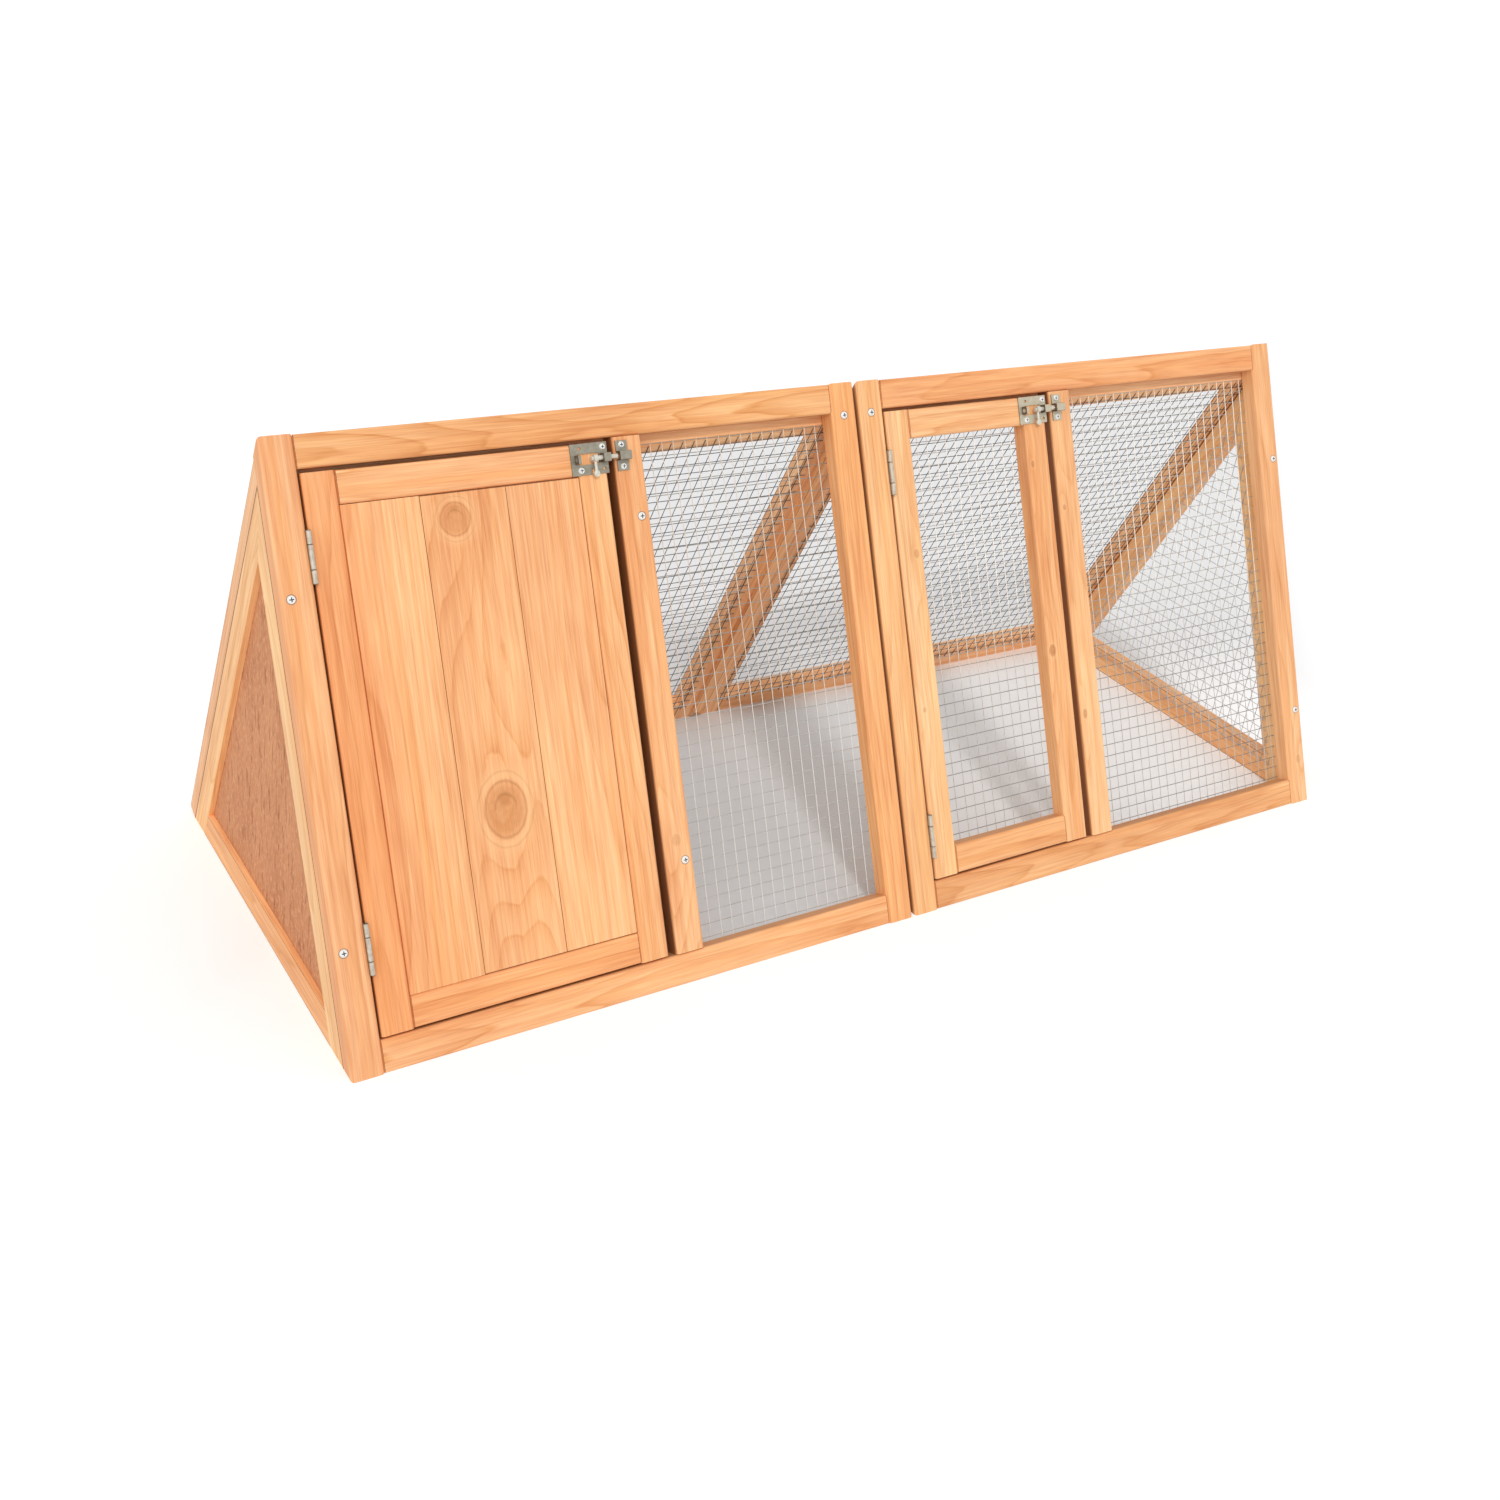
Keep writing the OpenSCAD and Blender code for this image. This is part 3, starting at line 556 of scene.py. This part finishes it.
# The boarded door. A frame of four strips holds three upright boards with
# tongues and grooves. The middle board is a wide flat-sawn one with two large
# knots, and the grain runs round them.
fir("solid_door_stile_left", UP_FRONT, ALONG, 133.1, (242, 169, 111), pith=(-0.01, -0.04),
    ring=0.005, streaks=0.7, side_shade=0.7, toward=-1)
fir("solid_door_stile_right", UP_FRONT, ALONG, 137.9, (251, 192, 134), pith=(0.02, -0.06),
    side_shade=0.9, toward=1)
for name, seed, tint in (("solid_door_rail_top", 141.7, (250, 189, 133)),
                         ("solid_door_rail_bottom", 145.6, (250, 184, 125))):
    fir(name, ALONG, -UP_FRONT, seed, tint, ends=True, sides=True, pith=(0.006, -0.05),
        rings=0.8, side_shade=0.6)
BOARD_LINE = 0.0008
fir("solid_door_board_left", UP_FRONT, ALONG, 149.3, (252, 193, 136), sides=True, toward=1,
    pith=(-0.05, -0.05), ring=0.008, line=BOARD_LINE, fade=(247, 176, 119))
fir("solid_door_board_mid", UP_FRONT, ALONG, 153.9, (249, 187, 130), sides=True, ends=True,
    pith=(0.002, -0.045), tilt=0.03, ring=0.0036, rings=0.60, streaks=0.4, sway=0.016,
    line=BOARD_LINE, knots=(Knot(-0.012, 0.191, 0.0150, 0.95, 0.034, 4.0, 0.9),
                            Knot(-0.0015, -0.072, 0.0215, 0.78, 0.042, 5.5, 1.0)))
fir("solid_door_board_right", UP_FRONT, ALONG, 159.7, (251, 192, 137), sides=True, ends=True,
    pith=(0.05, -0.06), ring=0.007, line=BOARD_LINE)


# The mesh door. Four strips make a narrow frame, and welded wire is stapled
# to its inner face.
fir("mesh_door_stile_left", UP_FRONT, ALONG, 163.3, (252, 204, 149), pith=(0.03, -0.07),
    side_shade=0.8, toward=-1,
    knots=(Knot(0.006, 0.096, 0.0035, 0.7, 0.015, 1.5, 0.6),
           Knot(-0.006, -0.066, 0.0025, 0.8, 0.012, 1.5, 0.6)))
fir("mesh_door_stile_right", UP_FRONT, ALONG, 167.9, (249, 193, 137), pith=(0.02, -0.06),
    side_shade=0.8, toward=1,
    knots=(Knot(-0.008, -0.032, 0.0050, 0.7, 0.02, 2.0, 1.0),
           Knot(-0.009, 0.172, 0.0025, 0.6, 0.015, 1.5, 0.8)))
for name, seed, tint in (("mesh_door_rail_top", 171.7, (250, 197, 142)),
                         ("mesh_door_rail_bottom", 175.0, (245, 187, 131))):
    fir(name, ALONG, -UP_FRONT, seed, tint, ends=True, rings=0.8, side_shade=0.4)


# The welded mesh. Galvanised wire in half-inch squares, one set of wires laid
# over the other and spot welded, cut to size and stapled inside each panel.
# The wires are a little bent, as they come off a roll.
PITCH = 0.0127
WIRE_RADIUS = 0.00042
OFF_PLACE = 0.0004
SAG = 0.0010
UPRIGHT_STEPS, ROW_STEP = 10, 0.05
STRIP_THICKNESS = 0.018
INNER_FACE = -STRIP_THICKNESS


def galvanised(name, low, high, top=None):
    """Zinc coated wire, which may be painted with another light toward the ridge."""
    material, w, skin = new_material(name)
    spot = w.spot()
    colour = w.mix(w.noise(spot, scale=60.0), srgb(*low), srgb(*high))
    # Toward the ridge the wire takes a painted light colour.
    if top:
        _, _, height = w.split(spot)
        colour = w.mix(w.ramp(height, (0.18, 0.0), (0.28, 1.0)), colour, srgb(*top))
    w.fill(skin, {"Base Color": colour, "Metallic": 0.25, "Roughness": 0.42})
    return material


# Each net has its own copy of the same wire, painted for the light it gets: pale in front of the
# house, darker on the run, darkest at the back in shade. The crossing wires are painted darker
# than the upright ones.
house_wires = (
    galvanised("house_wire_up", (206, 204, 200), (240, 238, 234), (222, 210, 194)),
    galvanised("house_wire_across", (150, 150, 148), (200, 198, 194), (150, 147, 140)))
run_wires = (
    galvanised("run_wire_up", (176, 171, 162), (208, 202, 192), (252, 244, 232)),
    galvanised("run_wire_across", (112, 111, 109), (144, 142, 138), (176, 172, 164)))
shaded_back_wires = (galvanised("back_wire", (66, 69, 74), (100, 102, 106)),) * 2


def tube(mesh, points, side, out, metal=0, corners=5):
    """A straight or slightly bent wire as a closed tube through the points."""
    angles = [2 * math.pi * k / corners for k in range(corners)]
    spokes = [(side * math.cos(a) + out * math.sin(a)) * WIRE_RADIUS for a in angles]
    rings = [[mesh.verts.new(point + spoke) for spoke in spokes] for point in points]
    for first, second in zip(rings, rings[1:]):
        for k in range(corners):
            j = (k + 1) % corners
            face = mesh.faces.new((first[k], first[j], second[j], second[k]))
            face.material_index = metal
    for cap in (list(reversed(rings[0])), rings[-1]):
        mesh.faces.new(cap).material_index = metal


def finished(name, mesh, metals):
    """A new piece of this shape in these metals, linked to the scene."""
    data = bpy.data.meshes.new(name)
    mesh.to_mesh(data)
    mesh.free()
    for metal in metals:
        data.materials.append(metal)
    piece = bpy.data.objects.new(name, data)
    bpy.context.collection.objects.link(piece)
    return piece


def net(node, body, place, out, field, seed, metals):
    """Two sets of wires in the field of a CAD net, which they replace."""
    left, right, foot, top = field
    dice = random.Random(seed)
    mesh = bmesh.new()
    up = (place(0, 1, 0) - place(0, 0, 0)).normalized()
    # Strength, pace and start of three slow bends.
    bends = [(dice.uniform(0.3, 1.0), dice.uniform(5, 14), dice.uniform(0, 6.3))
             for _ in range(3)]

    def sag(t, wire):
        return SAG * sum(a * math.sin(f * t + start + 2.1 * wire) for a, f, start in bends)

    width, height = right - left, top - foot
    columns, rows = int(width / PITCH), int(height / PITCH)
    stops = [foot + height * k / UPRIGHT_STEPS for k in range(UPRIGHT_STEPS + 1)]
    for i in range(columns + 1):
        u = left + (width - columns * PITCH) / 2 + i * PITCH + dice.uniform(-OFF_PLACE, OFF_PLACE)
        tube(mesh, [place(u + sag(v, u), v, INNER_FACE - WIRE_RADIUS) for v in stops], ALONG, out)
    steps = max(4, int(width / ROW_STEP))
    stops = [left + width * k / steps for k in range(steps + 1)]
    for j in range(rows + 1):
        v = foot + (height - rows * PITCH) / 2 + j * PITCH + dice.uniform(-OFF_PLACE, OFF_PLACE)
        tube(mesh, [place(u, v + sag(u, v), INNER_FACE - 3 * WIRE_RADIUS) for u in stops],
             up, out, metal=1)
    piece = finished(node + "_wires", mesh, metals)
    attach(piece, body)
    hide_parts(node)


# The left, right, foot and top of the field of each net on its panel.
HOUSE_FRONT_FIELD = (0.3595, 0.588, 0.020, 0.5155)
RUN_FRONT_FIELD = (0.8880, 1.200, 0.020, 0.5155)
HOUSE_BACK_FIELD = (0.3595, 0.588, 0.0290, 0.5115)
RUN_BACK_FIELD = (0.632, 1.200, 0.0290, 0.5115)
MESH_DOOR_FIELD = (0.664, 0.8385, 0.052, 0.5010)
net("house_front_mesh", "frame", on_front, OUT_FRONT, HOUSE_FRONT_FIELD, 11, house_wires)
net("run_front_mesh", "frame", on_front, OUT_FRONT, RUN_FRONT_FIELD, 12, run_wires)
net("house_back_mesh", "frame", on_back, OUT_BACK, HOUSE_BACK_FIELD, 13, shaded_back_wires)
net("run_back_mesh", "frame", on_back, OUT_BACK, RUN_BACK_FIELD, 14, shaded_back_wires)
net("mesh_door_mesh", "mesh_door", on_front, OUT_FRONT, MESH_DOOR_FIELD, 15, run_wires)


# The mesh of the run end. The same wire, cut to a triangle and stapled inside
# the legs and the rail.
END_FACE = 0.592
HOLD = 0.020
MESH_FOOT = HOLD
MESH_APEX = FOOT_TO_RIDGE * math.tan(SLOPE) - (STRIP_THICKNESS + HOLD) / math.cos(SLOPE)
FIRST_ROW = 0.003
END_OFF_PLACE = 0.0003
SHORTEST_UP, SHORTEST_HALF = 0.008, 0.006
STEPS = 6
dice = random.Random(16)
mesh = bmesh.new()
count = int((MESH_APEX - MESH_FOOT) / math.tan(SLOPE) / PITCH)
for i in range(-count, count + 1):
    y = i * PITCH
    length = MESH_APEX - abs(y) * math.tan(SLOPE) - MESH_FOOT
    if length < SHORTEST_UP:
        continue
    points = [Vector((END_FACE - WIRE_RADIUS,
                      MIDDLE + y + dice.uniform(-END_OFF_PLACE, END_OFF_PLACE),
                      MESH_FOOT + length * k / STEPS)) for k in range(STEPS + 1)]
    tube(mesh, points, Vector((0, 1, 0)), ALONG)
for j in range(int((MESH_APEX - MESH_FOOT) / PITCH)):
    z = MESH_FOOT + FIRST_ROW + j * PITCH
    half = (MESH_APEX - z) / math.tan(SLOPE)
    if half < SHORTEST_HALF:
        continue
    points = [Vector((END_FACE - 3 * WIRE_RADIUS,
                      MIDDLE - half + 2 * half * k / STEPS,
                      z + dice.uniform(-END_OFF_PLACE, END_OFF_PLACE))) for k in range(STEPS + 1)]
    tube(mesh, points, Vector((0, 0, 1)), ALONG)
# The end net's wire is painted for the light it gets from inside the run.
end_wire = galvanised("end_wire", (172, 175, 178), (204, 205, 206))
piece = finished("run_end_wires", mesh, [end_wire])
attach(piece, "frame")
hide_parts("run_end_mesh")


# Hinges, latches and keeps. Pressed steel with a thin zinc coat, matt where it was stamped and
# brighter on the knuckles and the bolt. The cut edges of the plates and keeps carry a painted
# shadow line.
KNUCKLE_SHADOW = srgb(70, 58, 44)
HALF_GAP = 0.0005
BETWEEN_DOORS = -0.1


def zinc(name, dark, light, roughness, metallic=0.4, joints=()):
    """Plated steel with faint blotches, fine scratches and dark joints."""
    material, w, skin = new_material(name)
    spot = w.spot()
    blotch = w.noise(spot, scale=220.0, detail=3.0, rough=0.6)
    scratch = w.drawn_noise(spot, (300.0, 2200.0, 2200.0))
    colour = w.mix(blotch, srgb(*dark), srgb(*light))
    for v in joints:
        at_joint = w.calc("COMPARE", w.vector("DOT_PRODUCT", spot, UP_FRONT), v, HALF_GAP)
        colour = w.mix(w.times(at_joint, 0.8), colour, KNUCKLE_SHADOW)
    w.fill(skin, {"Base Color": colour, "Metallic": metallic,
                  "Roughness": w.between(blotch, roughness - 0.08, roughness + 0.10),
                  "Normal": w.bump(scratch, strength=0.15, distance=0.0001)})
    return material


def knuckle_joints(node):
    """How far up the slope the knuckles of the hinges meet."""
    ends = {round(face.center.dot(UP_FRONT), 4) for face in nodes[node].data.polygons
            if abs(face.normal.dot(UP_FRONT)) > 0.99}
    return sorted(ends)


plain = zinc("plain_zinc", (186, 181, 166), (230, 226, 214), 0.34)
mesh_plate = zinc("mesh_door_plate_zinc", (170, 160, 136), (213, 203, 180), 0.34)
dull_plate = zinc("dull_plate_zinc", (118, 114, 100), (178, 171, 154), 0.36)
edge_shadow = zinc("edge_shadow_zinc", (84, 74, 58), (112, 100, 82), 0.5, 0.3)
solid_hinge, mesh_hinge = (
    zinc(door + "_hinge_zinc", (140, 130, 110), (232, 226, 212), 0.30, 0.35,
         knuckle_joints(door + "_hinge_leaves")) for door in ("solid_door", "mesh_door"))
for name, metal, *metal_at_mesh_door in (
        ("solid_door_latch_plate", dull_plate),
        ("mesh_door_latch_plate", mesh_plate),
        ("latch_keeps", dull_plate, mesh_plate),
        ("solid_door_latch_bolt", plain),
        ("mesh_door_latch_bolt", plain),
        ("solid_door_latch_handle", plain),
        ("mesh_door_latch_handle", plain),
        ("frame_hinge_leaves", solid_hinge, mesh_hinge),
        ("solid_door_hinge_leaves", solid_hinge),
        ("mesh_door_hinge_leaves", mesh_hinge)):
    dress(name, metal, edge_shadow, *metal_at_mesh_door)
    # The cut edges of plates and keeps take the dark metal, a painted shadow line round each.
    stamped = "plate" in name or "keeps" in name
    for face in nodes[name].data.polygons:
        across_sheet = abs(face.normal.dot(OUT_FRONT)) < 0.3
        if stamped and across_sheet:
            face.material_index = 1
        elif metal_at_mesh_door and face.center.x > BETWEEN_DOORS:
            face.material_index = 2


# The screw heads. Their crossed slots are in shadow, and two small screws hold
# each latch plate on its door.
SLOT_FLOORS = (0.0006, 0.0016)
SLOT_WALLS_FROM = 0.0003
CLOSE = 0.0001
bright = zinc("bright_zinc", (226, 225, 220), (250, 250, 247), 0.36, 0.15)
slot_dark = zinc("slot_dark", (44, 50, 64), (70, 76, 90), 0.5, 0.3)
dress("frame_screws", bright, slot_dark)
for face in nodes["frame_screws"].data.polygons:
    in_front = face.center.y < MIDDLE and face.normal.dot(OUT_BACK) < 0.8
    out, on_panel = (OUT_FRONT, on_front) if in_front else (OUT_BACK, on_back)
    height = (face.center - on_panel(0, 0, 0)).dot(out)
    facing = face.normal.dot(out)
    floor_of_slot = facing > 0.9 and any(abs(height - level) < CLOSE for level in SLOT_FLOORS)
    wall_of_slot = abs(facing) < 0.1 and height > SLOT_WALLS_FROM
    if floor_of_slot or wall_of_slot:
        face.material_index = 1

KEEP_SCREW = (0.3365, 0.5169)
HEAD_MIDDLE = on_front(*KEEP_SCREW, 0.0015)
HEAD_REACH, HEAD_DEPTH = 0.0045, 0.0007
for body, plate_edge in (("solid_door", 0.3195), ("mesh_door", 0.8585)):
    for row, inward, v in (("upper", 0.0030, 0.5169), ("lower", 0.0270, 0.4969)):
        mesh = bmesh.new()
        mesh.from_mesh(nodes["frame_screws"].data)
        away = [vert for vert in mesh.verts
                if (vert.co - HEAD_MIDDLE).length > HEAD_REACH
                or (vert.co - HEAD_MIDDLE).dot(OUT_FRONT) < -HEAD_DEPTH]
        bmesh.ops.delete(mesh, geom=away, context="VERTS")
        step = on_front(plate_edge - inward, v, 0) - on_front(*KEEP_SCREW, 0)
        bmesh.ops.translate(mesh, verts=mesh.verts, vec=step)
        piece = finished("%s_plate_screw_%s" % (body, row), mesh, (bright, slot_dark))
        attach(piece, body)


# The floor and the light. A white studio floor that runs out of view, with a
# soft shade behind the hutch, a soft lamp in front, a broader one on the left
# and white light all round.
def in_view(w):
    """1 for what the camera sees, straight, in bright metal or through glass."""
    rays = w.add("ShaderNodeLightPath").outputs
    return w.larger(rays["Is Camera Ray"], rays["Is Glossy Ray"], rays["Is Transmission Ray"])


FLOOR_REACH = 30
HOUSE_FLOOR_SHADE, RUN_FLOOR_SHADE = (0.71, 0.735, 0.75, 1), (0.95, 0.95, 0.95, 1)
STUDIO_WHITE = (0.80, 0.80, 0.805, 1)
WITHIN_FEET = (0.600, 0.222)
SHADE_DEPTH, SHADE_EDGE = 0.96, 0.30
FLOOR_GLOW = 0.26
# How deep a point of the floor lies within the left, right, far and near side
# of the shade: a share of its x, a share of its y, and a start.
SHADE_SIDES = ((1.0, -0.40, 0.70), (-1.2, 1.25, 1.144), (0.0, -1.2, 1.54), (0.0, 1.0, 0.10))
floor_mesh = bpy.data.meshes.new("floor")
corners = [(a * FLOOR_REACH, b * FLOOR_REACH, 0) for a, b in ((-1, -1), (1, -1), (1, 1), (-1, 1))]
floor_mesh.from_pydata(corners, [], [(0, 1, 2, 3)])
floor = bpy.data.objects.new("floor", floor_mesh)
bpy.context.collection.objects.link(floor)
floor_white, w, skin = new_material("floor_white")
x, y, _ = w.split(w.add("ShaderNodeNewGeometry").outputs["Position"])
outside = w.larger(*(w.above(w.calc("ABSOLUTE", way), limit)
                     for way, limit in zip((x, y), WITHIN_FEET)))
nearest = w.smaller(*(w.plus(w.times(x, a), w.times(y, b), start) for a, b, start in SHADE_SIDES))
soft_edge = w.add("ShaderNodeMapRange", interpolation_type="SMOOTHSTEP")
w.fill(soft_edge, {"Value": nearest, "From Max": SHADE_EDGE})
unshaded = w.minus(1.0, w.times(soft_edge.outputs["Result"], SHADE_DEPTH))
# The floor under the hutch is painted darker, a painted shade, deepest under the house and
# lighter toward the run.
to_the_right = w.ramp(w.plus(x, 0.5), (0.45, 0.0), (0.95, 1.0))
inside = w.mix(to_the_right, HOUSE_FLOOR_SHADE, RUN_FLOOR_SHADE)
w.fill(skin, {"Base Color": w.mix(outside, inside, STUDIO_WHITE),
              "Roughness": 0.9, "Specular IOR Level": 0.1, "Emission Color": (1, 1, 1, 1),
              "Emission Strength": w.times(in_view(w), FLOOR_GLOW, unshaded, outside)})
floor_mesh.materials.append(floor_white)

SKY_LIGHT, SKY_GLOW = 0.70, 0.30
world = bpy.data.worlds.new("studio")
bpy.context.scene.world = world
world.use_nodes = True
w = Wiring(world.node_tree)
w.fill(world.node_tree.nodes["Background"], {
    "Color": (1, 1, 1, 1), "Strength": w.plus(w.times(in_view(w), SKY_GLOW), SKY_LIGHT)})

for name, energy, softness, towards in (("main_lamp", 1.00, 9, (0.28, 0.90, -1.05)),
                                        ("left_fill", 0.52, 60, (1.00, 0.50, -0.70))):
    lamp = bpy.data.lights.new(name, "SUN")
    lamp.energy = energy
    lamp.angle = math.radians(softness)
    sun = bpy.data.objects.new(name, lamp)
    bpy.context.collection.objects.link(sun)
    sun.rotation_euler = Vector(towards).to_track_quat("-Z", "Y").to_euler()

bpy.context.scene.view_settings.view_transform = "Standard"


# The camera. A lens of 42 mm, one metre above the floor, in front of the
# house end. It is rolled a little and shifted, as the picture was taken.
YAW, PITCH_DOWN, ROLL = 0.6241, -0.4684, 0.1311
EYE = Vector((-1.04372, -1.33028, 1.04220))
forward = Vector((math.sin(YAW) * math.cos(PITCH_DOWN), math.cos(YAW) * math.cos(PITCH_DOWN),
                  math.sin(PITCH_DOWN)))
level = Vector((math.cos(YAW), -math.sin(YAW), 0))
upright = level.cross(forward)
right = level * math.cos(ROLL) + upright * math.sin(ROLL)
above = upright * math.cos(ROLL) - level * math.sin(ROLL)
lens = bpy.data.cameras.new("camera")
lens.sensor_width = 36
lens.lens = 41.743
lens.shift_y = -0.0666
camera = bpy.data.objects.new("camera", lens)
bpy.context.collection.objects.link(camera)
turned = Matrix((right, above, -forward)).transposed().to_4x4()
camera.matrix_world = Matrix.Translation(EYE) @ turned
bpy.context.scene.camera = camera
